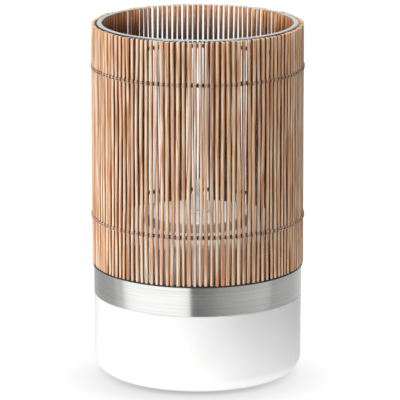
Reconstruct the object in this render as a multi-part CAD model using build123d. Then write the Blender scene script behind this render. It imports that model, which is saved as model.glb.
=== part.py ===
from build123d import *
import math
import os

# Tabletop torch: a glazed pot with a fuel tank in it, a steel collar on the pot,
# a glass chimney standing in the collar and a woven reed mat round the glass.
# Millimetres, +Z up, origin on the table under the centre.

# ---- driving dimensions ----

# fuel tank, the size that every ring outside it follows
tank_diameter = 105.0
tank_sheet = 0.8
tank_shoulder_radius = 4.5
tank_top_above_mat_bottom = 23.4
floor_sheet = 1.0
floor_rim_height = 5.0

# filler neck and burner
neck_bore = 28.0
neck_wall = 1.2
neck_above_lid = 3.3
neck_below_lid = 6.0
neck_flange_width = 3.8
neck_flange_thickness = 1.0
seal_thickness = 0.9
seal_width = 3.0
cap_sheet = 0.8
cap_top_diameter = 56.4
cap_foot_diameter = 62.0
cap_corner_radius = 1.2
cap_foot_gap = 0.15
plug_depth = 9.0
plug_clearance = 0.3
wick_diameter = 5.4
wick_clearance = 0.3
wick_tube_wall = 0.8
wick_tube_above_cap = 10.0
wick_tube_below_plug = 4.0
wick_above_tube = 9.2
wick_above_floor = 5.0
nut_diameter = 13.0
nut_height = 1.4
nut_chamfer = 0.5

# glass chimney
glass_clearance = 0.8
glass_wall = 3.3
glass_above_mat = 0.9
glass_edge_radius = 0.7

# steel collar
band_clearance = 0.9
band_wall = 1.3
band_height = 16.6
flange_thickness = 1.2
spigot_wall = 1.0
spigot_depth = 5.0
spigot_clearance = 0.3
collar_bore_clearance = 0.9
band_edge_chamfer = 0.2

# soft rings
lip_thickness = 0.8
lip_inside_gap = 0.4
lip_outside_width = 0.8
seat_thickness = 2.0
seat_inside_gap = 0.2
collar_seal_thickness = 1.0
foot_proud = 0.6
foot_recess = 0.9
foot_inner_diameter = 78.0
foot_outer_diameter = 92.0

# glazed pot
pot_height = 45.3
pot_step_in = 0.1
pot_bore_clearance = 0.6
pot_floor = 6.0
pot_edge_radius = 9.0
pot_rim_radius = 0.6
underside_recess_diameter = 68.0
underside_recess_depth = 1.5

# reed mat
mat_height = 136.3
reed_diameter = 2.34
reed_pitch = 3.073
reed_groups = 12
twine_thickness = 0.55
twine_row_height = 2.0
twine_to_glass = 0.38
lower_row_above_bottom = 27.5
upper_row_below_top = 23.6
knot_thickness = 0.8
knot_width = 4.0
knot_height = 3.2
knot_edge = 0.3

# ---- sizes worked out from them ----

tank_radius = tank_diameter / 2
glass_inner_radius = tank_radius + glass_clearance
glass_outer_radius = glass_inner_radius + glass_wall
band_inner_radius = glass_outer_radius + band_clearance
band_outer_radius = band_inner_radius + band_wall
pot_outer_radius = band_outer_radius - pot_step_in
pot_inner_radius = tank_radius + pot_bore_clearance
collar_inner_radius = tank_radius + collar_bore_clearance
spigot_outer_radius = collar_inner_radius + spigot_wall
rebate_radius = spigot_outer_radius + spigot_clearance

pot_bottom = foot_proud
pot_top = pot_bottom + pot_height
pot_floor_top = pot_bottom + pot_floor
rebate_bottom = pot_top - spigot_depth - collar_seal_thickness
flange_top = pot_top + flange_thickness
band_top = pot_top + band_height
glass_bottom = flange_top + seat_thickness
mat_bottom = band_top + lip_thickness
mat_top = mat_bottom + mat_height
glass_top = mat_top + glass_above_mat

twine_inner_radius = glass_outer_radius + twine_to_glass
reed_circle_radius = twine_inner_radius + twine_thickness + reed_diameter / 2
reed_outer_radius = reed_circle_radius + reed_diameter / 2
reeds_per_group = round(2 * math.pi * reed_circle_radius / reed_pitch / reed_groups)
reed_count = reeds_per_group * reed_groups
lower_row_centre = mat_bottom + lower_row_above_bottom
upper_row_centre = mat_top - upper_row_below_top

lid_top = mat_bottom + tank_top_above_mat_bottom
lid_bottom = lid_top - tank_sheet
lid_seam = lid_top - tank_shoulder_radius
neck_inner_radius = neck_bore / 2
neck_outer_radius = neck_inner_radius + neck_wall
neck_top = lid_top + neck_above_lid
cap_inside = neck_top + seal_thickness
cap_top = cap_inside + cap_sheet
plug_radius = neck_inner_radius - plug_clearance
plug_bottom = cap_inside - plug_depth
wick_radius = wick_diameter / 2
tube_inner_radius = wick_radius + wick_clearance
tube_outer_radius = tube_inner_radius + wick_tube_wall
tube_top = cap_top + wick_tube_above_cap
tube_bottom = plug_bottom - wick_tube_below_plug
wick_top = tube_top + wick_above_tube
wick_bottom = pot_floor_top + floor_sheet + wick_above_floor


# ---- helpers ----

def ring(inner_radius, outer_radius, bottom, top):
    """A plain ring round the Z axis."""
    height = top - bottom
    body = Cylinder(outer_radius, height) - Cylinder(inner_radius, height)
    return Pos(0, 0, (bottom + top) / 2) * body


def disc(radius, bottom, top):
    """A solid round plate on the Z axis."""
    return Pos(0, 0, (bottom + top) / 2) * Cylinder(radius, top - bottom)


def edges_at(shape, radius, height):
    """The round edges of a turned part that have this radius and this height."""
    found = []
    for edge in shape.edges().filter_by(GeomType.CIRCLE):
        same_radius = abs(edge.radius - radius) < 0.001
        same_height = abs(edge.center(CenterOf.BOUNDING_BOX).Z - height) < 0.001
        if same_radius and same_height:
            found.append(edge)
    return found


def turned(points):
    """A solid turned about Z from an outline of (radius, height) points."""
    outline = Polyline(points, close=True)
    face = make_face(Plane.XZ * outline)
    return revolve(face, axis=Axis.Z)


# ---- pot and what is fixed to it ----

def make_base_pot():
    pot = disc(pot_outer_radius, pot_bottom, pot_top)
    pot = pot - disc(pot_inner_radius, pot_floor_top, pot_top)
    pot = pot - disc(rebate_radius, rebate_bottom, pot_top)
    pot = pot - disc(underside_recess_diameter / 2, pot_bottom, pot_bottom + underside_recess_depth)
    groove = ring(foot_inner_diameter / 2, foot_outer_diameter / 2, pot_bottom, pot_bottom + foot_recess)
    pot = pot - groove
    pot = fillet(edges_at(pot, pot_outer_radius, pot_bottom), pot_edge_radius)
    pot = fillet(edges_at(pot, pot_outer_radius, pot_top), pot_rim_radius)
    return pot


def make_foot_ring():
    return ring(foot_inner_diameter / 2, foot_outer_diameter / 2, 0, foot_proud + foot_recess)


def make_steel_collar():
    collar = turned([
        (collar_inner_radius, pot_top - spigot_depth),
        (spigot_outer_radius, pot_top - spigot_depth),
        (spigot_outer_radius, pot_top),
        (band_outer_radius, pot_top),
        (band_outer_radius, band_top),
        (band_inner_radius, band_top),
        (band_inner_radius, flange_top),
        (collar_inner_radius, flange_top),
    ])
    lower_edge = edges_at(collar, band_outer_radius, pot_top)
    upper_edge = edges_at(collar, band_outer_radius, band_top)
    return chamfer(lower_edge + upper_edge, band_edge_chamfer)


def make_collar_seal():
    return ring(collar_inner_radius, rebate_radius, rebate_bottom, pot_top - spigot_depth)


def make_glass_seat():
    return ring(glass_inner_radius + seat_inside_gap, band_inner_radius, flange_top, glass_bottom)


def make_band_lip():
    inner_radius = glass_outer_radius + lip_inside_gap
    return ring(inner_radius, band_outer_radius + lip_outside_width, band_top, mat_bottom)


# ---- fuel tank ----

def make_tank_floor():
    outer = tank_radius - tank_sheet
    plate = disc(outer, pot_floor_top, pot_floor_top + floor_sheet)
    rim_top = pot_floor_top + floor_sheet + floor_rim_height
    return plate + ring(outer - tank_sheet, outer, pot_floor_top + floor_sheet, rim_top)


def make_tank_wall():
    return ring(tank_radius - tank_sheet, tank_radius, pot_floor_top, lid_seam)


def domed_disc(radius, bottom, top, shoulder_radius):
    """A round plate with a rounded upper edge."""
    plate = disc(radius, bottom, top)
    return fillet(edges_at(plate, radius, top), shoulder_radius)


def make_tank_lid():
    skirt_end = lid_seam - tank_sheet
    inner_shoulder = tank_shoulder_radius - tank_sheet
    lid = domed_disc(tank_radius, skirt_end, lid_top, tank_shoulder_radius)
    lid = lid - domed_disc(tank_radius - tank_sheet, skirt_end, lid_bottom, inner_shoulder)
    lid = lid - disc(neck_outer_radius, lid_bottom, lid_top)
    return lid - disc(tank_diameter, skirt_end, lid_seam)


def make_neck_ring():
    neck = ring(neck_inner_radius, neck_outer_radius, lid_top - neck_below_lid, neck_top)
    flange_radius = neck_outer_radius + neck_flange_width
    return neck + ring(neck_inner_radius, flange_radius, lid_top, lid_top + neck_flange_thickness)


# ---- burner ----

def make_burner_cap():
    foot = lid_top + cap_foot_gap
    top_radius = cap_top_diameter / 2
    foot_radius = cap_foot_diameter / 2
    cap = turned([
        (tube_outer_radius, cap_top),
        (top_radius, cap_top),
        (foot_radius, foot),
        (foot_radius - cap_sheet, foot),
        (top_radius - cap_sheet, cap_inside),
        (tube_outer_radius, cap_inside),
    ])
    return fillet(edges_at(cap, top_radius, cap_top), cap_corner_radius)


def make_burner_plug():
    return ring(tube_outer_radius, plug_radius, plug_bottom, cap_inside)


def make_burner_seal():
    return ring(plug_radius, plug_radius + seal_width, neck_top, cap_inside)


def make_wick_tube():
    return ring(tube_inner_radius, tube_outer_radius, tube_bottom, tube_top)


def make_tube_nut():
    nut = ring(tube_outer_radius, nut_diameter / 2, cap_top, cap_top + nut_height)
    return chamfer(edges_at(nut, nut_diameter / 2, cap_top + nut_height), nut_chamfer)


def make_wick():
    return disc(wick_radius, wick_bottom, wick_top)


# ---- chimney and mat ----

def make_glass_chimney():
    glass = ring(glass_inner_radius, glass_outer_radius, glass_bottom, glass_top)
    rim = edges_at(glass, glass_inner_radius, glass_top) + edges_at(glass, glass_outer_radius, glass_top)
    return fillet(rim, glass_edge_radius)


def make_reed_group(group):
    """One twelfth of the mat: separate reeds side by side on the reed circle."""
    reeds = []
    for place in range(reeds_per_group):
        turn = 360 / reed_count * (group * reeds_per_group + place + 0.5)
        reed = disc(reed_diameter / 2, mat_bottom, mat_top)
        reeds.append(Rot(0, 0, turn) * Pos(reed_circle_radius, 0, 0) * reed)
    return Compound(children=reeds)


def make_twine(inner_radius, row_centre):
    half = twine_row_height / 2
    return ring(inner_radius, inner_radius + twine_thickness, row_centre - half, row_centre + half)


def make_knot(row_centre):
    """The tied end of a row, a flat bead on the outside at the back."""
    inner_radius = reed_outer_radius + twine_thickness
    bead = Box(knot_width, knot_thickness * 2, knot_height)
    bead = chamfer(bead.edges().filter_by(Axis.Y), knot_edge)
    bead = Pos(0, inner_radius, row_centre) * bead
    return bead - disc(inner_radius, row_centre - knot_height, row_centre + knot_height)


# ---- all nodes ----

def make_parts():
    parts = {
        "base_pot": make_base_pot(),
        "foot_ring": make_foot_ring(),
        "steel_collar": make_steel_collar(),
        "collar_seal": make_collar_seal(),
        "glass_seat": make_glass_seat(),
        "band_lip": make_band_lip(),
        "tank_floor": make_tank_floor(),
        "tank_wall": make_tank_wall(),
        "tank_lid": make_tank_lid(),
        "neck_ring": make_neck_ring(),
        "burner_cap": make_burner_cap(),
        "burner_plug": make_burner_plug(),
        "burner_seal": make_burner_seal(),
        "wick_tube": make_wick_tube(),
        "tube_nut": make_tube_nut(),
        "wick": make_wick(),
        "glass_chimney": make_glass_chimney(),
        "twine_upper_outer": make_twine(reed_outer_radius, upper_row_centre),
        "twine_upper_inner": make_twine(twine_inner_radius, upper_row_centre),
        "twine_lower_outer": make_twine(reed_outer_radius, lower_row_centre),
        "twine_lower_inner": make_twine(twine_inner_radius, lower_row_centre),
        "knot_upper": make_knot(upper_row_centre),
        "knot_lower": make_knot(lower_row_centre),
    }
    for group in range(reed_groups):
        parts[f"reeds_{group + 1:02d}"] = make_reed_group(group)
    return parts


os.makedirs("parts", exist_ok=True)
for node, shape in make_parts().items():
    export_step(shape, f"parts/{node}.step")
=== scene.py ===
import math
import random

import bmesh
import bpy
from mathutils import Matrix, Vector


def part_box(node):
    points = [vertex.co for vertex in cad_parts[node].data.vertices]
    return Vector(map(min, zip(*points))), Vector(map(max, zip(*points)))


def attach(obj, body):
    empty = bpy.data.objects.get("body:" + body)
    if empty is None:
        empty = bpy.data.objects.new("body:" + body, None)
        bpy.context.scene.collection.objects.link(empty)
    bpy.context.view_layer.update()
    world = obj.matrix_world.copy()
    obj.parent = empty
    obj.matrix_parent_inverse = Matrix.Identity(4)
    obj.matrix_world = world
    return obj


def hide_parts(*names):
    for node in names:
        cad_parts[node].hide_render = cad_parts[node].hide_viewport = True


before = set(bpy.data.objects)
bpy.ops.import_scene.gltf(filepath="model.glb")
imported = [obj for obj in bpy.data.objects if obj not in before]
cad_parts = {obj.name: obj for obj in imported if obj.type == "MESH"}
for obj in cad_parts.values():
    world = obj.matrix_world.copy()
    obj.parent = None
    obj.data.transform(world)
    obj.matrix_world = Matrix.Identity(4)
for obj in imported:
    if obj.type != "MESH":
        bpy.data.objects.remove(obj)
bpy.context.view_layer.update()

print("tabletop torch: frame loaded,", len(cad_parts), "nodes")

for leftover in ("Cube", "Light", "Camera"):
    if leftover in bpy.data.objects:
        bpy.data.objects.remove(bpy.data.objects[leftover])

mm = 0.001


# small helpers used by every piece

def boxRadius(node):
    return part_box(node)[1].x


def boxHeights(node):
    low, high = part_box(node)
    return low.z, high.z


def shadeSmooth(mesh, sharpAngle):
    for face in mesh.polygons:
        face.use_smooth = True
    if sharpAngle:
        mesh.set_sharp_from_angle(angle=math.radians(sharpAngle))


def addPiece(name, bm, body, material, replaced, sharpAngle=35):
    mesh = bpy.data.meshes.new(name)
    bm.to_mesh(mesh)
    bm.free()
    shadeSmooth(mesh, sharpAngle)
    piece = bpy.data.objects.new(name, mesh)
    bpy.context.scene.collection.objects.link(piece)
    mesh.materials.append(material)
    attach(piece, body)
    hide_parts(*replaced)


def finishNode(node, material):
    # a frame node that keeps its own shape and only gets a better surface
    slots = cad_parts[node].data.materials
    slots.clear()
    slots.append(material)


def splitByHeight(edges):
    # the edges that run up a rod, over 10 mm tall, and those round its two ends
    tall = [edge for edge in edges if abs(edge.verts[0].co.z - edge.verts[1].co.z) > 10 * mm]
    return tall, [edge for edge in edges if edge not in tall]


def arc(centre, radius, start, end, steps):
    # points on a round corner, as (radius from the centre line, height)
    points = []
    for step in range(steps + 1):
        angle = math.radians(start + (end - start) * step / steps)
        points.append((centre[0] + radius * math.cos(angle), centre[1] + radius * math.sin(angle)))
    return points


def spinProfile(profile, steps, closed=True):
    # turns an outline of (radius, height) points about the Z axis
    bm = bmesh.new()
    verts = [bm.verts.new((radius, 0, height)) for radius, height in profile]
    edges = [bm.edges.new(pair) for pair in zip(verts, verts[1:])]
    if closed:
        edges.append(bm.edges.new((verts[-1], verts[0])))
    bmesh.ops.spin(bm, geom=verts + edges, cent=(0, 0, 0), axis=(0, 0, 1), dvec=(0, 0, 0),
                   angle=math.tau, steps=steps, use_merge=True, use_duplicate=False)
    bmesh.ops.remove_doubles(bm, verts=bm.verts, dist=1e-6)
    bmesh.ops.recalc_face_normals(bm, faces=bm.faces)
    return bm


# material helpers

def srgb(red, green, blue):
    # 0 to 255 as a paint chip reads, to linear
    def linear(value):
        value = value / 255
        return value / 12.92 if value <= 0.04045 else ((value + 0.055) / 1.055) ** 2.4
    return (linear(red), linear(green), linear(blue), 1)


class NodeKit:
    # short calls for the nodes that the surround and the materials are made of

    def __init__(self, tree):
        self.tree = tree

    def node(self, kind, inputs=None, **settings):
        made = self.tree.nodes.new(kind)
        for key, value in settings.items():
            setattr(made, key, value)
        for key, value in (inputs or {}).items():
            if isinstance(value, bpy.types.NodeSocket):
                self.tree.links.new(value, made.inputs[key])
            else:
                made.inputs[key].default_value = value
        return made

    def noise(self, vector, scale, detail=3, roughness=0.5, distortion=0):
        made = self.node("ShaderNodeTexNoise", {"Vector": vector, "Scale": scale, "Detail": detail,
                                                "Roughness": roughness, "Distortion": distortion})
        return made.outputs["Fac"]

    def ramp(self, factor, stops, interpolation="LINEAR"):
        made = self.node("ShaderNodeValToRGB", {"Fac": factor})
        made.color_ramp.interpolation = interpolation
        while len(made.color_ramp.elements) < len(stops):
            made.color_ramp.elements.new(1)
        for element, (position, colour) in zip(made.color_ramp.elements, stops):
            element.position = position
            element.color = colour if len(colour) == 4 else (*colour, 1)
        return made.outputs["Color"]

    def spread(self, value, low, high, fromLow=0, fromHigh=1):
        # value going from fromLow to fromHigh gives low to high, and stays there beyond them
        made = self.node("ShaderNodeMapRange", {"Value": value, "To Min": low, "To Max": high,
                                                "From Min": fromLow, "From Max": fromHigh})
        return made.outputs["Result"]

    def math(self, operation, first, second=0.0):
        made = self.node("ShaderNodeMath", {0: first, 1: second}, operation=operation)
        return made.outputs[0]

    def mix(self, factor, first, second, blend="MIX"):
        made = self.node("ShaderNodeMix", data_type="RGBA", blend_type=blend)
        for index, value in ((0, factor), (6, first), (7, second)):
            if isinstance(value, bpy.types.NodeSocket):
                self.tree.links.new(value, made.inputs[index])
            else:
                made.inputs[index].default_value = value
        return made.outputs[2]

    def axis(self, vector, name):
        return self.node("ShaderNodeSeparateXYZ", {0: vector}).outputs[name]


class Shader(NodeKit):

    def __init__(self, name, **values):
        self.material = bpy.data.materials.new(name)
        self.material.use_nodes = True
        super().__init__(self.material.node_tree)
        self.main = self.tree.nodes["Principled BSDF"]
        self.output = self.tree.nodes["Material Output"]
        for socket, value in values.items():
            self.main.inputs[socket.replace("_", " ")].default_value = value

    def place(self, scale=(1, 1, 1), location=(0, 0, 0)):
        coords = self.node("ShaderNodeTexCoord")
        mapping = self.node("ShaderNodeMapping", {"Vector": coords.outputs["Object"],
                                                  "Scale": scale, "Location": location})
        return mapping.outputs["Vector"]

    def bump(self, height, strength, distance, normal=None):
        inputs = {"Height": height, "Strength": strength, "Distance": distance}
        if normal is not None:
            inputs["Normal"] = normal
        return self.node("ShaderNodeBump", inputs).outputs["Normal"]

    def radius(self):
        # distance from the centre line, for turned and spun parts
        coords = self.node("ShaderNodeTexCoord").outputs["Object"]
        flat = self.node("ShaderNodeVectorMath", {0: coords, 1: (1, 1, 0)}, operation="MULTIPLY")
        length = self.node("ShaderNodeVectorMath", {0: flat.outputs[0]}, operation="LENGTH")
        return length.outputs["Value"]

    def facingUp(self):
        # 1 where the surface faces straight up, -1 straight down
        return self.axis(self.node("ShaderNodeNewGeometry").outputs["Normal"], "Z")

    def along(self, value):
        # a one-value pattern coordinate
        return self.node("ShaderNodeCombineXYZ", {"X": value}).outputs["Vector"]

    def link(self, output, socket):
        self.tree.links.new(output, self.main.inputs[socket])

    def done(self):
        return self.material


# studio: floor, lights and camera

studio = {
    "cameraDistance": 1.750,     # from the centre line, level with the floor
    "cameraHeight": 0.5221,
    "cameraSide": 0.0013,
    "tiltDown": 13.62,
    "lens": 286.5,
    "floorSize": 24.0,
    "paperWhite": 1.06,
    "shade": 0.57,               # how dark the paper gets right beside the foot
    "shadeReach": 0.040,
    "shadeLean": (-0.05, 0.03),  # full in front of the first, a fifth behind the second
    "bounceNear": 1.42,          # light the paper throws back on the torch
    "bounceFar": 0.05,
    "bounceFade": (0.085, 0.21),
    "skyLight": 0.14,
    "backdrop": 0.95,
    "ceiling": 0.90,
    "ceilingFrom": (0.30, 0.55),
    # turn in degrees from the front, positive to the right
    "lamps": [{"name": "keyLight", "turn": -60, "rise": 18, "spread": 26, "power": 1.35},
              {"name": "frontLight", "turn": -11, "rise": 5, "spread": 14, "power": 1.18},
              {"name": "sideLight", "turn": -92, "rise": 8, "spread": 25, "power": 0.6},
              {"name": "topLight", "turn": 180, "rise": 83, "spread": 40, "power": 2.7}],
    # brightness of the studio walls round the torch, by the same angle
    "walls": [(-180, 0.62), (-154, 0.48), (-133, 0.40), (-108, 0.45), (-104, 0.50), (-101, 0.66),
              (-92, 0.60), (-89, 1.05), (-84, 1.2), (-74, 1.27), (-22, 1.25), (-9, 1.1), (-7.5, 0.18),
              (3, 0.20), (16, 0.26), (29, 0.365), (50, 0.465), (75, 0.57), (87, 0.57), (89.5, 0.40),
              (102, 0.44), (126, 0.48), (150, 0.60), (180, 0.75)],
}


def makeCamera():
    data = bpy.data.cameras.new("camera")
    data.lens = studio["lens"]
    data.sensor_width = 36
    data.clip_start = 0.05
    data.clip_end = 50
    camera = bpy.data.objects.new("camera", data)
    camera.location = (studio["cameraSide"], -studio["cameraDistance"], studio["cameraHeight"])
    camera.rotation_euler = (math.radians(90 - studio["tiltDown"]), 0, 0)
    bpy.context.scene.collection.objects.link(camera)
    bpy.context.scene.camera = camera


def makeFloor():
    bm = bmesh.new()
    bmesh.ops.create_grid(bm, x_segments=1, y_segments=1, size=studio["floorSize"] / 2)
    mesh = bpy.data.meshes.new("floor")
    bm.to_mesh(mesh)
    bm.free()
    floor = bpy.data.objects.new("floor", mesh)
    bpy.context.scene.collection.objects.link(floor)
    # the paper glows, so it is white all over; a soft pool of shade round the foot leans to the front,
    # and what the paper throws back on the torch fades with distance
    paper = Shader("whitePaper", Roughness=0.9, Base_Color=(0, 0, 0, 1))
    paper.main.inputs["Specular IOR Level"].default_value = 0
    place = paper.place()
    mottle = paper.spread(paper.noise(place, 40, 3), 0.995, 1.005)
    openSky = paper.node("ShaderNodeAmbientOcclusion", {"Distance": studio["shadeReach"]}, samples=16)
    lean = paper.spread(paper.axis(place, "Y"), 1.0, 0.2, *studio["shadeLean"])
    hidden = paper.math("MULTIPLY", paper.math("SUBTRACT", 1.0, openSky.outputs["AO"]), lean)
    shade = paper.math("SUBTRACT", 1.0, paper.math("MULTIPLY", hidden, studio["shade"]))
    away = paper.spread(paper.radius(), studio["bounceNear"], studio["bounceFar"], *studio["bounceFade"])
    bounce = paper.node("ShaderNodeLightPath").outputs["Is Diffuse Ray"]
    level = paper.node("ShaderNodeMix", {0: bounce, 2: studio["paperWhite"], 3: away}).outputs[0]
    glow = paper.math("MULTIPLY", paper.math("MULTIPLY", level, shade), mottle)
    paper.main.inputs["Emission Color"].default_value = (1, 1, 1, 1)
    paper.link(glow, "Emission Strength")
    mesh.materials.append(paper.done())
    floor.visible_glossy = False


def makeWorld():
    world = bpy.data.worlds.new("studioWalls")
    bpy.context.scene.world = world
    world.use_nodes = True
    walls = NodeKit(world.node_tree)
    ways = walls.node("ShaderNodeTexCoord").outputs["Generated"]
    forward = walls.math("MULTIPLY", walls.axis(ways, "Y"), -1)
    turn = walls.math("ARCTAN2", walls.axis(ways, "X"), forward)
    greys = [((degrees + 180) / 360, (level, level, level)) for degrees, level in studio["walls"]]
    colour = walls.ramp(walls.spread(turn, 0, 1, -math.pi, math.pi), greys)
    high = walls.spread(walls.axis(ways, "Z"), 0, 1, *studio["ceilingFrom"])
    path = walls.node("ShaderNodeLightPath")
    for share, name in ((high, "ceiling"), (path.outputs["Is Camera Ray"], "backdrop"),
                        (path.outputs["Is Diffuse Ray"], "skyLight")):
        colour = walls.mix(share, colour, (studio[name], studio[name], studio[name], 1))
    walls.tree.links.new(colour, walls.tree.nodes["Background"].inputs["Color"])


def addLamp(settings):
    data = bpy.data.lights.new(settings["name"], "SUN")
    data.energy = settings["power"]
    data.angle = math.radians(settings["spread"])
    lamp = bpy.data.objects.new(settings["name"], data)
    turn, rise = math.radians(settings["turn"]), math.radians(settings["rise"])
    toLamp = Vector((math.sin(turn) * math.cos(rise), -math.cos(turn) * math.cos(rise), math.sin(rise)))
    lamp.location = toLamp * 2
    lamp.rotation_euler = (-toLamp).to_track_quat("-Z", "Y").to_euler()
    lamp.visible_glossy = False
    bpy.context.scene.collection.objects.link(lamp)


def makeStudio():
    makeCamera()
    makeFloor()
    makeWorld()
    for lamp in studio["lamps"]:
        addLamp(lamp)
    bpy.context.scene.view_settings.view_transform = "Standard"
    bpy.context.scene.view_settings.look = "None"
    print("studio ready")


makeStudio()


# glazed pot

glazedPot = {
    "edgeRadius": 9.0 * mm,
    "rimRadius": 0.7 * mm,
    "floorThickness": 6.0 * mm,
    "innerCorner": 0.5 * mm,
    "tankGap": 0.6 * mm,
    "rebateDepth": 6.0 * mm,
    "rebateRadius": 54.7 * mm,
    "recessRadius": 34.0 * mm,
    "recessDepth": 1.5 * mm,
    "grooveInner": 39.0 * mm,
    "grooveDepth": 0.9 * mm,
    "footSlope": 0.9 * mm,
    "steps": 180,
}


def porcelainGlaze():
    glaze = Shader("porcelainGlaze", Roughness=0.2, IOR=1.45)
    place = glaze.place()
    cloud = glaze.noise(place, 35, 4)
    white = glaze.ramp(cloud, [(0.3, srgb(240, 240, 239)), (0.7, srgb(246, 246, 246))])
    speck = glaze.noise(place, 1400, 2, 0.7)
    iron = glaze.ramp(speck, [(0.0, (0.75, 0.72, 0.68)), (0.14, (0.93, 0.92, 0.9)), (0.19, (1, 1, 1))])
    white = glaze.mix(1.0, white, iron, "MULTIPLY")
    # the foot is wiped clean of glaze, so the bare bisque shows underneath
    wobble = glaze.math("MULTIPLY", glaze.math("SUBTRACT", glaze.noise(place, 160, 2), 0.5), 0.0012)
    edge = glaze.math("ADD", glaze.axis(place, "Z"), wobble)
    bare = glaze.spread(edge, 1, 0, 0.0011, 0.0014)
    grain = glaze.noise(place, 2600, 3, 0.7)
    bisque = glaze.ramp(grain, [(0.35, srgb(205, 199, 188)), (0.65, srgb(226, 221, 211))])
    glaze.link(glaze.mix(bare, white, bisque), "Base Color")
    gloss = glaze.spread(glaze.noise(place, 260, 3), 0.14, 0.24)
    glaze.link(glaze.math("MAXIMUM", gloss, glaze.math("MULTIPLY", bare, 0.75)), "Roughness")
    peel = glaze.bump(glaze.noise(place, 190, 2), 0.10, 0.0002)
    glaze.link(glaze.bump(grain, 0.05, 0.0001, peel), "Normal")
    return glaze.done()


def makeGlazedPot():
    pot = glazedPot
    outer = boxRadius("base_pot")
    bottom, top = boxHeights("base_pot")
    bore = boxRadius("tank_wall") + pot["tankGap"]
    edge, rim = pot["edgeRadius"], pot["rimRadius"]
    floorTop = bottom + pot["floorThickness"]
    recessTop, grooveTop = bottom + pot["recessDepth"], bottom + pot["grooveDepth"]
    grooveOuter = boxRadius("foot_ring")
    recess, grooveInner = pot["recessRadius"], pot["grooveInner"]
    profile = [(0, recessTop), (recess - pot["footSlope"], recessTop), (recess, bottom)]
    profile += [(grooveInner, bottom), (grooveInner, grooveTop), (grooveOuter, grooveTop),
                (grooveOuter, bottom)]
    profile += arc((outer - edge, bottom + edge), edge, -90, 0, 14)
    profile += arc((outer - rim, top - rim), rim, 0, 90, 6)
    rebate, ledge, corner = pot["rebateRadius"], top - pot["rebateDepth"], pot["innerCorner"]
    profile += [(rebate, top), (rebate, ledge), (bore, ledge)]
    profile += arc((bore - corner, floorTop + corner), corner, 0, -90, 4)
    profile += [(0, floorTop)]
    bm = spinProfile(profile, pot["steps"], closed=False)
    addPiece("glazedPot", bm, "base", porcelainGlaze(), ["base_pot"], 40)


makeGlazedPot()
print("glazed pot thrown")


# steel collar, tank and burner

def brushedRound(name, colour, roughness, lineScale=3200, depth=0.25, anisotropic=0.85):
    # lines run round the part, so light stretches up and down it
    steel = Shader(name, Metallic=1.0, Anisotropic=anisotropic, Anisotropic_Rotation=0.25)
    fine = steel.noise(steel.place((6, 6, lineScale)), 1, 3, 0.6)
    coarse = steel.noise(steel.place((14, 14, lineScale * 0.22), (3, 5, 0)), 1, 2, 0.5)
    lines = steel.math("ADD", steel.math("MULTIPLY", fine, 0.65), steel.math("MULTIPLY", coarse, 0.35))
    dark = tuple(part * 0.82 for part in colour[:3])
    light = tuple(min(1, part * 1.10) for part in colour[:3])
    steel.link(steel.ramp(lines, [(0.3, dark), (0.7, light)]), "Base Color")
    smudge = steel.noise(steel.place(), 70, 3)
    grain = steel.spread(lines, roughness - 0.05, roughness + 0.07, 0.3, 0.7)
    steel.link(steel.math("ADD", grain, steel.math("MULTIPLY", smudge, 0.05)), "Roughness")
    tangent = steel.node("ShaderNodeTangent", direction_type="RADIAL", axis="Z")
    steel.link(tangent.outputs[0], "Tangent")
    steel.link(steel.bump(lines, depth, 0.00004), "Normal")
    return steel.done()


def spunFace(name, colour, roughness, lineScale=2600, bareShadedFrom=None):
    # bead-blasted face with faint rings left by the spinning tool; past the given radius the sheet is
    # bare and more metallic, and its darker colour there is painted shade on the sloping skirt
    steel = Shader(name, Metallic=0.35)
    rings = steel.noise(steel.along(steel.math("MULTIPLY", steel.radius(), lineScale)), 1, 3, 0.6)
    grain = steel.noise(steel.place(), 5200, 2, 0.6)
    cloud = steel.noise(steel.place(), 60, 3)
    dark = tuple(part * 0.90 for part in colour[:3])
    tint = steel.ramp(rings, [(0.3, dark), (0.7, colour)])
    speck = steel.ramp(grain, [(0.3, (0.88, 0.88, 0.88)), (0.6, (1, 1, 1))])
    tint = steel.mix(1.0, tint, speck, "MULTIPLY")
    if bareShadedFrom:
        bare = steel.spread(steel.radius(), 0, 1, bareShadedFrom - 0.5 * mm, bareShadedFrom + 0.1 * mm)
        # painted shade: the bare skirt's colour is darkened for the shade on its steep side
        tint = steel.mix(bare, tint, (0.40, 0.43, 0.47, 1))
        steel.link(steel.spread(bare, 0.35, 0.8), "Metallic")
    steel.link(tint, "Base Color")
    radialLevel = steel.math("ADD", steel.spread(rings, roughness - 0.05, roughness + 0.06, 0.3, 0.7),
                      steel.math("MULTIPLY", cloud, 0.06))
    steel.link(radialLevel, "Roughness")
    steel.link(steel.bump(rings, 0.15, 0.00003, steel.bump(grain, 0.2, 0.00003)), "Normal")
    return steel.done()


steelCollar = {"edge": 0.25 * mm, "wall": 1.3 * mm, "flange": 1.2 * mm, "spigotWall": 1.0 * mm,
               "innerGap": 0.9 * mm, "steps": 180}


def makeSteelCollar():
    collar = steelCollar
    outer = boxRadius("steel_collar")
    bottom, top = boxHeights("steel_collar")
    potTop = boxHeights("base_pot")[1]
    bore = boxRadius("tank_wall") + collar["innerGap"]
    inner = outer - collar["wall"]
    edge = collar["edge"]
    spigot = bore + collar["spigotWall"]
    profile = [(bore, bottom), (spigot, bottom), (spigot, potTop)]
    profile += arc((outer - edge, potTop + edge), edge, -90, 0, 4)
    profile += arc((outer - edge, top - edge), edge, 0, 90, 4)
    profile += arc((inner + edge, top - edge), edge, 90, 180, 4)
    profile += [(inner, potTop + collar["flange"]), (bore, potTop + collar["flange"])]
    bm = spinProfile(profile, collar["steps"])
    band = brushedRound("brushedBand", (0.80, 0.80, 0.79), 0.20, depth=0.14, anisotropic=1.0)
    addPiece("steelCollar", bm, "base", band, ["steel_collar"])


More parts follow.
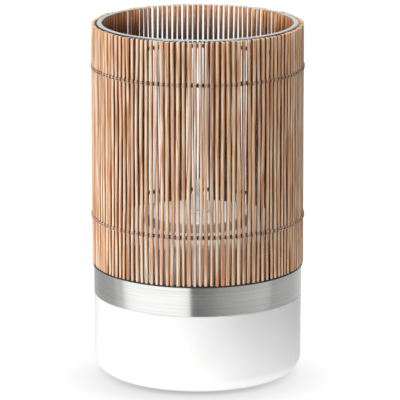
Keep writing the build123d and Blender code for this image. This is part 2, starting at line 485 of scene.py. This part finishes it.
fuelTank = {"sheet": 0.8 * mm, "shoulder": 4.5 * mm, "rolledEdge": 0.3 * mm, "neckFlange": 3.8 * mm,
            "grooveRadius": 41.0 * mm, "grooveWidth": 1.2 * mm, "grooveDepth": 0.35 * mm, "steps": 160}


def makeFuelTank():
    tank = fuelTank
    outer = boxRadius("tank_wall")
    bottom, seam = boxHeights("tank_wall")
    sheet = tank["sheet"]
    edge = tank["rolledEdge"]
    wall = arc((outer - edge, bottom + edge), edge, -90, 0, 4)
    wall += [(outer, seam), (outer - sheet, seam), (outer - sheet, bottom)]
    steel = brushedRound("tankSteel", (0.80, 0.80, 0.80), 0.40)
    addPiece("tankWall", spinProfile(wall, tank["steps"]), "tank", steel, ["tank_wall"])

    top = boxHeights("tank_lid")[1]
    neck = boxRadius("neck_ring") - tank["neckFlange"]
    shoulder = tank["shoulder"]
    lid = [(outer, seam)]
    lid += arc((outer - shoulder, top - shoulder), shoulder, 0, 90, 12)
    for step in range(7):
        swing = math.pi * step / 6
        lid.append((tank["grooveRadius"] + tank["grooveWidth"] * math.cos(swing) / 2,
                    top - tank["grooveDepth"] * math.sin(swing)))
    lid += [(neck, top), (neck, top - sheet)]
    lid += arc((outer - shoulder, top - shoulder), shoulder - sheet, 90, 0, 10)
    lid += [(outer - sheet, seam)]
    spun = spunFace("satinLid", (0.84, 0.85, 0.86), 0.48)
    addPiece("tankLid", spinProfile(lid, tank["steps"]), "tank", spun, ["tank_lid"])
    finishNode("tank_floor", steel)


burner = {"sheet": 0.8 * mm, "corner": 1.2 * mm, "topRadius": 28.2 * mm, "footRoll": 0.35 * mm,
          "ringRadius": 20.0 * mm, "ringWidth": 3.0 * mm, "ringDepth": 0.25 * mm, "steps": 128}


def makeBurnerCap():
    cap = burner
    foot = boxRadius("burner_cap")
    low, high = boxHeights("burner_cap")
    bore = boxRadius("wick_tube")
    sheet, corner, shoulder, roll = cap["sheet"], cap["corner"], cap["topRadius"], cap["footRoll"]
    ring, half = cap["ringRadius"], cap["ringWidth"] / 2
    profile = [(bore, high), (ring - half, high), (ring, high - cap["ringDepth"]), (ring + half, high)]
    slope = math.degrees(math.atan2(high - low, foot - shoulder))
    profile += arc((shoulder - corner, high - corner), corner, 90, 90 - slope, 6)
    profile += arc((foot - roll, low + roll), roll, 90 - slope, -90, 5)
    profile += [(foot - sheet, low), (shoulder - sheet, high - sheet), (bore, high - sheet)]
    spun = spunFace("spunCap", (0.84, 0.86, 0.88), 0.48, bareShadedFrom=shoulder)
    bm = spinProfile(profile, cap["steps"])
    addPiece("burnerCap", bm, "burner", spun, ["burner_cap"])
    turned = brushedRound("turnedSteel", (0.70, 0.70, 0.69), 0.28, 2400)
    for node, finish in (("neck_ring", turned), ("burner_plug", turned), ("wick_tube", spun),
                         ("tube_nut", spun)):
        finishNode(node, finish)


makeSteelCollar()
makeFuelTank()
makeBurnerCap()
print("steel parts spun")


# soft rings

softRings = {
    "blackSilicone": {"dark": (14, 13, 13), "light": (30, 28, 27), "roughness": 0.6, "milky": 0,
                      "nodes": ["collar_seal", "glass_seat", "burner_seal"]},
    "trimSilicone": {"dark": (30, 27, 25), "light": (50, 46, 43), "roughness": 0.55, "milky": 0,
                     "nodes": ["band_lip"]},
    "clearSilicone": {"dark": (150, 149, 144), "light": (176, 175, 170), "roughness": 0.45, "milky": 0.2,
                      "nodes": ["foot_ring"]},
}


def softRubber(name, settings):
    rubber = Shader(name, Roughness=settings["roughness"], Subsurface_Weight=settings["milky"])
    place = rubber.place()
    dust = rubber.noise(place, 420, 4, 0.65)
    colours = [(0.35, srgb(*settings["dark"])), (0.75, srgb(*settings["light"]))]
    rubber.link(rubber.ramp(dust, colours), "Base Color")
    middle = settings["roughness"]
    rubber.link(rubber.spread(dust, middle - 0.1, middle + 0.1), "Roughness")
    rubber.link(rubber.bump(rubber.noise(place, 1800, 2), 0.15, 0.0001), "Normal")
    return rubber.done()


for name, settings in softRings.items():
    rubber = softRubber(name, settings)
    for node in settings["nodes"]:
        finishNode(node, rubber)
print("soft rings painted")


# glass chimney

lampGlass = {
    "wall": 3.3 * mm,
    "rimRadius": 0.9 * mm,
    "footRadius": 0.5 * mm,
    "straight": 0.4 * mm,        # of each wall beside the rounded ends
    "groundFrom": 1.4 * mm,      # below the top, where the matt rim begins and is full
    "groundFull": 1.0 * mm,
    "steps": 192,
}


def clearGlass():
    glass = Shader("clearGlass", Roughness=0.0, IOR=1.47, Transmission_Weight=1.0)
    glass.main.inputs["Base Color"].default_value = (0.985, 0.995, 0.992, 1)
    place = glass.place((1, 1, 0.35))
    glass.link(glass.bump(glass.noise(place, 26, 2), 0.03, 0.0006), "Normal")
    dust = glass.noise(glass.place(), 900, 3, 0.7)
    glass.link(glass.spread(dust, 0.0, 0.035, 0.55, 0.9), "Roughness")
    # the rim is ground flat and left matt, a soft grey-white
    top = boxHeights("glass_chimney")[1]
    upper = glass.spread(glass.axis(glass.place(), "Z"), 0, 1, top - lampGlass["groundFrom"],
                         top - lampGlass["groundFull"])
    ground = glass.math("MULTIPLY", glass.spread(glass.facingUp(), 0, 1, 0.50, 0.92), upper)
    matt = glass.node("ShaderNodeBsdfDiffuse", {"Color": (0.90, 0.93, 0.95, 1)})
    matt.inputs["Roughness"].default_value = 0.4
    share = glass.math("MULTIPLY", ground, glass.spread(dust, 0.34, 0.52, 0.3, 0.7))
    body = glass.node("ShaderNodeMixShader", {0: share, 1: glass.main.outputs[0], 2: matt.outputs[0]})
    # the lamps' light goes straight through, so the glass throws no dark shadow
    shadow = glass.node("ShaderNodeLightPath").outputs["Is Shadow Ray"]
    clear = glass.node("ShaderNodeBsdfTransparent", {"Color": (0.94, 0.95, 0.95, 1)})
    both = glass.node("ShaderNodeMixShader", {0: shadow, 1: body.outputs[0], 2: clear.outputs[0]})
    glass.tree.links.new(both.outputs[0], glass.output.inputs["Surface"])
    return glass.done()


def makeLampGlass():
    glass = lampGlass
    outer = boxRadius("glass_chimney")
    inner = outer - glass["wall"]
    bottom, top = boxHeights("glass_chimney")
    rim, foot = glass["rimRadius"], glass["footRadius"]
    # a short straight at each end keeps the long walls from shading like a lens
    lowEnd, highEnd = bottom + foot + glass["straight"], top - rim - glass["straight"]
    profile = arc((outer - foot, bottom + foot), foot, -90, 0, 4)
    profile += [(outer, lowEnd), (outer, highEnd)]
    profile += arc((outer - rim, top - rim), rim, 0, 90, 8)
    profile += arc((inner + rim, top - rim), rim, 90, 180, 8)
    profile += [(inner, highEnd), (inner, lowEnd)]
    profile += arc((inner + foot, bottom + foot), foot, 180, 270, 4)
    bm = spinProfile(profile, glass["steps"])
    addPiece("lampGlass", bm, "chimney", clearGlass(), ["glass_chimney"], None)


makeLampGlass()
print("lamp glass drawn")


# reed mat

reedMat = {
    "groups": 12,
    "perGroup": 10,
    "radius": 1.17 * mm,
    "thinnest": 0.80,            # of the radius
    "thickest": 1.07,
    "twineThickness": 0.55 * mm,
    "sides": 10,
    "rings": 13,
    "endUneven": 0.55 * mm,
    "endBevel": 0.22 * mm,
    "inOut": 0.10 * mm,
    "backHigher": 0.55 * mm,
    "tighterTop": 0.32 * mm,     # the mat hugs the glass a little more at its upper row
    "shadeBelowTop": (18 * mm, 2 * mm),  # below the top, where the painted inside shade is full and where it fades out
    "seed": 41,
}
matBottom, matTop = boxHeights("reeds_01")


def twineRowHeight(label):
    return sum(boxHeights(f"twine_{label}_outer")) / 2


def peeledReed():
    reed = Shader("peeledReed", Roughness=0.35, IOR=1.6)
    tone = reed.node("ShaderNodeAttribute", attribute_name="reedTone").outputs["Fac"]
    shift = reed.node("ShaderNodeAttribute", attribute_name="reedShift").outputs["Fac"]
    stops = [(0.00, srgb(200, 143, 98)), (0.14, srgb(228, 173, 121)), (0.38, srgb(243, 199, 147)),
             (0.62, srgb(250, 215, 169)), (0.82, srgb(240, 194, 163)), (1.0, srgb(255, 231, 195))]
    base = reed.ramp(tone, stops)
    coords = reed.node("ShaderNodeTexCoord").outputs["Object"]
    # every reed reads another part of the pattern
    offset = reed.node("ShaderNodeCombineXYZ", {"X": shift, "Y": tone, "Z": shift}).outputs["Vector"]
    moved = reed.node("ShaderNodeVectorMath", {0: coords, 1: offset}, operation="ADD").outputs[0]
    stretch = reed.node("ShaderNodeMapping", {"Vector": moved, "Scale": (1, 1, 0.035)}).outputs["Vector"]
    blotchy = reed.node("ShaderNodeMapping", {"Vector": moved, "Scale": (1, 1, 0.4)}).outputs["Vector"]
    fibre = reed.noise(stretch, 3000, 4, 0.65)
    streak = reed.noise(stretch, 1150, 2, 0.5)
    stain = reed.noise(stretch, 620, 3, 0.6)
    patch = reed.noise(blotchy, 90, 3)
    base = reed.mix(reed.spread(streak, 0.0, 0.92, 0.51, 0.61), base, srgb(254, 238, 212))
    base = reed.mix(reed.spread(streak, 0.90, 0.0, 0.36, 0.47), base, srgb(194, 120, 68))
    base = reed.mix(reed.spread(stain, 0.0, 0.70, 0.54, 0.72), base, srgb(176, 106, 66))
    base = reed.mix(reed.spread(patch, 0.0, 0.40, 0.50, 0.72), base, srgb(214, 166, 146))
    shade = reed.ramp(fibre, [(0.25, (0.70, 0.64, 0.60)), (0.55, (1, 1, 1))])
    base = reed.mix(0.85, base, shade, "MULTIPLY")
    # the outer side is peeled reed colour; the orange-brown flank and dark seam down each flank are
    # painted shade for the creases between reeds, and the inner side is painted darker as shade inside
    # the mat, darker still further down
    face = reed.node("ShaderNodeAttribute", attribute_name="reedFace").outputs["Fac"]
    face = reed.math("ADD", face, reed.spread(streak, -0.14, 0.14, 0.3, 0.7))
    # painted shade: the inner side is given a darker brown for the shade inside the mat
    innerSideShade = reed.ramp(streak, [(0.35, srgb(124, 74, 42)), (0.65, srgb(190, 136, 92))])
    # painted shade: the inner side darkens further below the top
    low, high = (matTop - depth for depth in reedMat["shadeBelowTop"])
    shadeBelowTop = reed.spread(reed.axis(coords, "Z"), 0.92, 0.0, low, high)
    innerSideShade = reed.mix(shadeBelowTop, innerSideShade, srgb(66, 30, 12))
    # painted shade: orange-brown flanks and a dark seam where neighbouring reeds meet
    base = reed.mix(reed.spread(face, 0.85, 0, 0.36, 0.86), base, srgb(198, 118, 64))
    base = reed.mix(reed.spread(face, 0.97, 0, 0.12, 0.48), base, srgb(44, 20, 9))
    base = reed.mix(reed.spread(face, 1, 0, -0.45, -0.15), base, innerSideShade)
    cutEnd = reed.spread(reed.math("ABSOLUTE", reed.facingUp()), 0, 0.9, 0.45, 0.8)
    pith = reed.ramp(fibre, [(0.3, srgb(206, 168, 128)), (0.6, srgb(246, 224, 192))])
    base = reed.mix(cutEnd, base, pith)
    reed.link(base, "Base Color")
    reed.link(reed.spread(face, 0.02, 0.85, 0.05, 0.5), "Specular IOR Level")
    reed.link(reed.spread(fibre, 0.42, 0.26, 0.3, 0.7), "Roughness")
    reed.link(reed.bump(fibre, 0.5, 0.00012, reed.bump(streak, 0.4, 0.0002)), "Normal")
    return reed.done()


def planReeds(circleRadius):
    # every reed's own thickness, bend and ends, drawn once so that neighbours can be kept apart
    draw = random.Random(reedMat["seed"])
    count = reedMat["groups"] * reedMat["perGroup"]
    pitch = math.tau * circleRadius / count
    plans = []
    for index in range(count):
        plans.append({
            "angle": math.tau * (index + 0.5) / count,
            "radius": reedMat["radius"] * draw.uniform(reedMat["thinnest"], reedMat["thickest"]),
            "bow": draw.gauss(0, 0.75),
            "wave": draw.gauss(0, 0.45),
            "splay": draw.gauss(0, 0.6),
            "footSplay": draw.gauss(0, 0.5),
            "depth": draw.gauss(0, 0.5),
            "phase": draw.uniform(0, math.tau),
            "top": draw.gauss(0, 0.42),
            "bottom": draw.gauss(0, 0.22),
            "tone": min(1, max(0, draw.gauss(0.52, 0.26))),
            "shift": draw.random(),
            "taper": draw.uniform(-0.07, 0.07),
        })
    for index, plan in enumerate(plans):
        thicker = max(plans[index - 1]["radius"], plans[(index + 1) % count]["radius"])
        plan["room"] = max(0, (pitch - plan["radius"] - thicker) * 0.48)
    return plans


def makeReed(bm, layers, plan, rows, circleRadius):
    settings = reedMat
    bottom = matBottom + abs(plan["bottom"]) * settings["endUneven"]
    back = 0.5 + 0.5 * math.sin(plan["angle"])
    top = matTop + settings["backHigher"] * back + plan["top"] * settings["endUneven"] * 0.5
    made = bmesh.ops.create_cone(bm, cap_ends=True, cap_tris=False, segments=settings["sides"],
                                 radius1=plan["radius"], radius2=plan["radius"], depth=top - bottom,
                                 matrix=Matrix.Translation((0, 0, (top + bottom) / 2)))
    sides, ends = splitByHeight({edge for vert in made["verts"] for edge in vert.link_edges})
    start = set(made["verts"])
    cut = bmesh.ops.subdivide_edges(bm, edges=sides, cuts=settings["rings"], use_grid_fill=True)
    rounded = bmesh.ops.bevel(bm, geom=ends, offset=settings["endBevel"], offset_type="OFFSET",
                              segments=2, profile=0.5, affect="EDGES", material=-1)
    verts = {vert for vert in start if vert.is_valid}
    verts |= {item for item in cut["geom_inner"] if isinstance(item, bmesh.types.BMVert)}
    verts |= set(rounded["verts"])
    lowRow, highRow = rows
    outward = Vector((math.cos(plan["angle"]), math.sin(plan["angle"]), 0))
    aside = Vector((-outward.y, outward.x, 0))
    for vert in verts:
        # the last value is 1 on the outer side, 0 on the flanks and -1 on the inner side
        for layer, value in zip(layers, (plan["tone"], plan["shift"], vert.co.x / plan["radius"])):
            vert[layer] = value
        height = vert.co.z
        # the twine rows hold a reed, so it bends between them and spreads beyond them
        share = (height - lowRow) / (highRow - lowRow)
        if share < 0:
            sway = plan["footSplay"] * share * 2.2 + plan["bow"] * math.pi * share * 0.5
        elif share > 1:
            sway = plan["splay"] * (share - 1) * 2.6 - plan["bow"] * math.pi * (share - 1) * 0.5
        else:
            sway = plan["bow"] * math.sin(math.pi * share) + plan["wave"] * math.sin(2 * math.pi * share)
        sway = max(-1, min(1, sway)) * plan["room"]
        nudge = plan["depth"] * math.sin(math.pi * share * 1.3 + plan["phase"]) * settings["inOut"]
        swell = 1 + plan["taper"] * (share - 0.5) + 0.03 * math.sin(9 * share + plan["phase"])
        nudge -= settings["tighterTop"] * max(0, share)
        spot = outward * (circleRadius + nudge + vert.co.x * swell) + aside * (sway + vert.co.y * swell)
        vert.co = (spot.x, spot.y, height)


def makeReedMat():
    twineOuter = boxRadius("twine_upper_outer")
    circleRadius = twineOuter - reedMat["twineThickness"] - reedMat["radius"]
    rows = [twineRowHeight("lower"), twineRowHeight("upper")]
    plans = planReeds(circleRadius)
    skin = peeledReed()
    for group in range(reedMat["groups"]):
        bm = bmesh.new()
        layers = [bm.verts.layers.float.new(name) for name in ("reedTone", "reedShift", "reedFace")]
        for place in range(reedMat["perGroup"]):
            makeReed(bm, layers, plans[group * reedMat["perGroup"] + place], rows, circleRadius)
        bmesh.ops.recalc_face_normals(bm, faces=bm.faces)
        number = f"{group + 1:02d}"
        addPiece(f"reedBundle_{number}", bm, "mat", skin, [f"reeds_{number}"], 50)
    print("reeds laid:", len(plans))
    return circleRadius, rows


circleRadius, twineRows = makeReedMat()


# twine rows, woven in and out of the reeds

twine = {
    "strandRadius": 0.38 * mm,
    "pairGap": 1.10 * mm,        # between the two twisted pairs of a row
    "crossing": 0.24 * mm,
    "reach": 1.29 * mm,          # how far a strand swings in and out of the reed circle
    "pointsPerReed": 6,
    "loose": 0.10 * mm,
    "darkUpTo": 59.55 * mm,      # from the centre line
    "paleFrom": 60.0 * mm,
    "knotOut": 0.45 * mm,
    "knotSize": (0.42 * mm, 0.22 * mm, 0.36 * mm),
    "tailLength": (4.0, 6.5),    # mm
    "tailThinner": 0.92,
    "seed": 17,
}


def brownTwine():
    thread = Shader("brownTwine", Roughness=0.9, Sheen_Weight=0.05)
    uv = thread.node("ShaderNodeUVMap", uv_map="UVMap").outputs["UV"]
    turns = thread.math("ADD", thread.math("MULTIPLY", thread.axis(uv, "X"), 900), thread.axis(uv, "Y"))
    ply = thread.math("SINE", thread.math("MULTIPLY", turns, math.tau))
    place = thread.place()
    fuzz = thread.noise(place, 3200, 3, 0.7)
    mottle = thread.noise(place, 240, 3)
    # painted light and shade: pale where it lies over a reed, painted dark down in the gaps where shade
    # falls
    deep = thread.ramp(mottle, [(0.35, srgb(40, 14, 10)), (0.65, srgb(70, 32, 22))])
    pale = thread.ramp(mottle, [(0.3, srgb(198, 150, 132)), (0.5, srgb(226, 190, 166)),
                                (0.7, srgb(240, 214, 192))])
    lean = thread.spread(thread.axis(place, "Z"), 0, reedMat["tighterTop"] * 0.7,
                         twineRowHeight("lower"), twineRowHeight("upper"))
    outwards = thread.math("ADD", thread.radius(), lean)
    # painted light and shade by radius: pale over the reeds, dark in the gaps
    radialLevel = thread.spread(outwards, 0, 1, twine["darkUpTo"], twine["paleFrom"])
    base = thread.mix(radialLevel, deep, pale)
    dark = thread.ramp(thread.spread(ply, 0, 1, -1, 1), [(0.0, (0.66, 0.60, 0.58)), (0.5, (1, 1, 1))])
    thread.link(thread.mix(0.8, base, dark, "MULTIPLY"), "Base Color")
    relief = thread.math("ADD", thread.math("MULTIPLY", ply, 0.6), thread.math("MULTIPLY", fuzz, 0.5))
    thread.link(thread.bump(relief, 0.5, 0.00015), "Normal")
    return thread.done()


def strandMesh(points, radius, cyclic=True):
    # a round thread along a row of points, made a mesh
    data = bpy.data.curves.new("strand", "CURVE")
    data.dimensions = "3D"
    data.bevel_depth = radius
    data.bevel_resolution = 1
    data.use_fill_caps = not cyclic
    spline = data.splines.new("POLY")
    spline.points.add(len(points) - 1)
    for spot, point in zip(spline.points, points):
        spot.co = (*point, 1)
    spline.use_cyclic_u = cyclic
    holder = bpy.data.objects.new("strand", data)
    bpy.context.scene.collection.objects.link(holder)
    bpy.context.view_layer.update()
    mesh = bpy.data.meshes.new_from_object(holder)
    bpy.data.objects.remove(holder)
    bpy.data.curves.remove(data)
    return mesh


def joinMeshes(meshes):
    bm = bmesh.new()
    for mesh in meshes:
        bm.from_mesh(mesh)
        bpy.data.meshes.remove(mesh)
    return bm


def weaveRow(rowRadius, height, draw):
    count = reedMat["groups"] * reedMat["perGroup"]
    total = count * twine["pointsPerReed"]
    strands = []
    for pair in (-0.5, 0.5):
        drift = [draw.uniform(0, math.tau) for wave in range(3)]
        for side in (0, math.pi):
            points = []
            for step in range(total):
                angle = math.tau * step / total
                weave = math.pi * (angle * count / math.tau - 0.5) + side
                swing = math.cos(weave)
                swing = math.copysign(abs(swing) ** 0.8, swing)
                radius = rowRadius + twine["reach"] * swing
                waves = [math.sin(angle * times + start) for times, start in zip((7, 19, 43), drift)]
                slack = sum(waves) / 3
                level = height + pair * twine["pairGap"] + twine["crossing"] * math.sin(weave)
                level += slack * twine["loose"]
                points.append((radius * math.cos(angle), radius * math.sin(angle), level))
            strands.append(strandMesh(points, twine["strandRadius"]))
    return joinMeshes(strands)


def knotMeshes(height, draw):
    # an overhand knot at the back, with two short tails
    base = Vector((0, circleRadius + twine["reach"] + twine["knotOut"], height))
    wide, deep, tall = twine["knotSize"]
    loop = []
    for step in range(36):
        turn = math.tau * step / 36
        across = (math.sin(turn) + 2 * math.sin(2 * turn)) * wide
        up = (math.cos(turn) - 2 * math.cos(2 * turn)) * tall
        loop.append(base + Vector((across, -math.sin(3 * turn) * deep, up)))
    meshes = [strandMesh(loop, twine["strandRadius"])]
    for side in (-1, 1):
        tail = []
        length = draw.uniform(*twine["tailLength"]) * mm
        for step in range(9):
            share = step / 8
            tail.append(base + Vector((side * (0.7 + 1.4 * share) * mm, 0.05 * mm - 0.2 * share * mm,
                                       -0.3 * mm - length * share ** 1.2)))
        meshes.append(strandMesh(tail, twine["strandRadius"] * twine["tailThinner"], cyclic=False))
    return joinMeshes(meshes)


def makeTwine():
    draw = random.Random(twine["seed"])
    thread = brownTwine()
    for label, height in zip(("lower", "upper"), twineRows):
        rowRadius = circleRadius - (reedMat["tighterTop"] if label == "upper" else 0)
        row = weaveRow(rowRadius, height, draw)
        addPiece(f"twineRow_{label}", row, "mat", thread,
                 [f"twine_{label}_outer", f"twine_{label}_inner"], None)
        addPiece(f"twineKnot_{label}", knotMeshes(height, draw), "mat", thread,
                 [f"knot_{label}"], None)


makeTwine()
print("twine woven")


# wick

wickBraid = {
    "sides": 20,
    "rings": 60,
    "upright": 3.2 * mm,         # stays straight above the tube, so it can be wound down into it
    "lean": 2.5 * mm,
    "tipRound": 1.0 * mm,
    "charred": (0.4 * mm, 1.4 * mm),
    "fibres": 46,
    "fibreLength": (0.8, 2.0),   # mm
    "fibreThick": 0.16 * mm,
    "fibreTip": 0.05 * mm,
    "seed": 5,
}


def glassFibre():
    braid = Shader("glassFibre", Roughness=0.8, Sheen_Weight=0.4)
    coords = braid.node("ShaderNodeTexCoord").outputs["Object"]
    height = braid.axis(coords, "Z")
    turn = braid.math("ARCTAN2", braid.axis(coords, "Y"), braid.axis(coords, "X"))
    strands = braid.math("MULTIPLY", turn, 11)
    rise = braid.math("MULTIPLY", height, 5600)
    left = braid.math("SINE", braid.math("ADD", strands, rise))
    right = braid.math("SINE", braid.math("SUBTRACT", strands, rise))
    weave = braid.math("MAXIMUM", left, right)
    fuzz = braid.noise(coords, 5200, 3, 0.7)
    base = braid.ramp(weave, [(0.0, srgb(206, 198, 196)), (0.8, srgb(240, 236, 234))])
    top = boxHeights("wick")[1]
    singe = braid.math("ADD", height, braid.math("MULTIPLY", braid.noise(coords, 900, 3), 0.0016))
    below, above = wickBraid["charred"]
    char = braid.spread(singe, 0, 0.8, top - below, top + above)
    braid.link(braid.mix(char, base, srgb(120, 100, 84)), "Base Color")
    relief = braid.math("ADD", weave, braid.math("MULTIPLY", fuzz, 0.6))
    braid.link(braid.bump(relief, 0.6, 0.0003), "Normal")
    return braid.done()


def makeWick():
    settings = wickBraid
    draw = random.Random(settings["seed"])
    radius = boxRadius("wick")
    bottom, top = boxHeights("wick")
    lip = boxHeights("wick_tube")[1] + settings["upright"]
    bm = bmesh.new()
    bmesh.ops.create_cone(bm, cap_ends=True, cap_tris=False, segments=settings["sides"], radius1=radius,
                          radius2=radius, depth=top - bottom,
                          matrix=Matrix.Translation((0, 0, (top + bottom) / 2)))
    tall, ends = splitByHeight(bm.edges)
    bmesh.ops.subdivide_edges(bm, edges=tall, cuts=settings["rings"], use_grid_fill=True)
    bmesh.ops.bevel(bm, geom=ends, offset=settings["tipRound"], offset_type="OFFSET", segments=3,
                    profile=0.5, affect="EDGES", material=-1)
    # loose fibres at the tip
    for fibre in range(settings["fibres"]):
        angle = draw.uniform(0, math.tau)
        spread = radius * 0.85 * math.sqrt(draw.random())
        length = draw.uniform(*settings["fibreLength"]) * mm
        tilt = Matrix.Rotation(draw.gauss(0, 0.28), 4, "X")
        tilt = tilt @ Matrix.Rotation(draw.gauss(0, 0.28), 4, "Y")
        foot = Matrix.Translation((spread * math.cos(angle), spread * math.sin(angle), top - 1.4 * mm))
        bmesh.ops.create_cone(bm, cap_ends=True, segments=5, radius1=settings["fibreThick"],
                              radius2=settings["fibreTip"], depth=length,
                              matrix=foot @ tilt @ Matrix.Translation((0, 0, length / 2)))
    for vert in bm.verts:
        share = max(0, (vert.co.z - lip) / (top - lip))
        vert.co.x += settings["lean"] * share ** 1.4
    bmesh.ops.recalc_face_normals(bm, faces=bm.faces)
    addPiece("wickBraid", bm, "wick", glassFibre(), ["wick"], 60)


makeWick()
print("wick braided")
